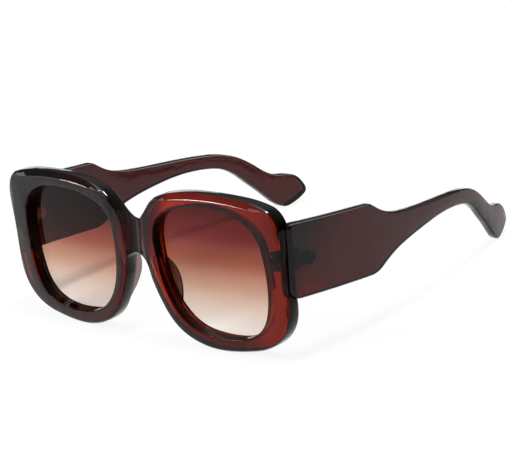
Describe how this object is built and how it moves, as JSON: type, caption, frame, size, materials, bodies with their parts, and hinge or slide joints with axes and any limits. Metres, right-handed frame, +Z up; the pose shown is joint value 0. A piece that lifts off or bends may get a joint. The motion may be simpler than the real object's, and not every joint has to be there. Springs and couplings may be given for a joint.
{
  "type": "oversized sunglasses",
  "caption": "Thick square plastic sunglasses with gradient tinted lenses and wide flat temples that fold on metal barrel hinges.",
  "frame": {"origin": "on the table, under the middle of the part's bounding box as it rests on its rims and temple tips", "axes": "+X to the wearer's left, +Y back along the open temples, +Z up from the table"},
  "size_m": [0.1514, 0.133, 0.0572],
  "materials": {
    "frame_plastic": "polished translucent reddish brown",
    "temple_plastic": "polished translucent dark brown",
    "pad_plastic": "polished translucent brown",
    "lens_tint": "clear, tinted from burgundy brown at the top to pale cream",
    "hinge_metal": "plain nickel plate",
    "screw_metal": "turned steel"
  },
  "bodies": {
    "front": {"front_frame": "frame_plastic", "lens_left": "lens_tint", "lens_right": "lens_tint", "nose_pad_left": "pad_plastic", "nose_pad_right": "pad_plastic", "front_hinge_leaf_left": "hinge_metal", "front_hinge_leaf_right": "hinge_metal", "hinge_screw_left": "screw_metal", "hinge_screw_right": "screw_metal"},
    "left_temple": {"temple_left": "temple_plastic", "temple_hinge_leaf_left": "hinge_metal"},
    "right_temple": {"temple_right": "temple_plastic", "temple_hinge_leaf_right": "hinge_metal"}
  },
  "joints": [
    {"name": "left_temple_fold", "type": "hinge", "parent": "front", "child": "left_temple", "pos_m": [0.0686, -0.05342, 0.03422], "axis": [0, 0.1419, 0.9899], "range_deg": [0, 82]},
    {"name": "right_temple_fold", "type": "hinge", "parent": "front", "child": "right_temple", "pos_m": [-0.0686, -0.05342, 0.03422], "axis": [0, -0.1419, -0.9899], "range_deg": [0, 76]}
  ]
}
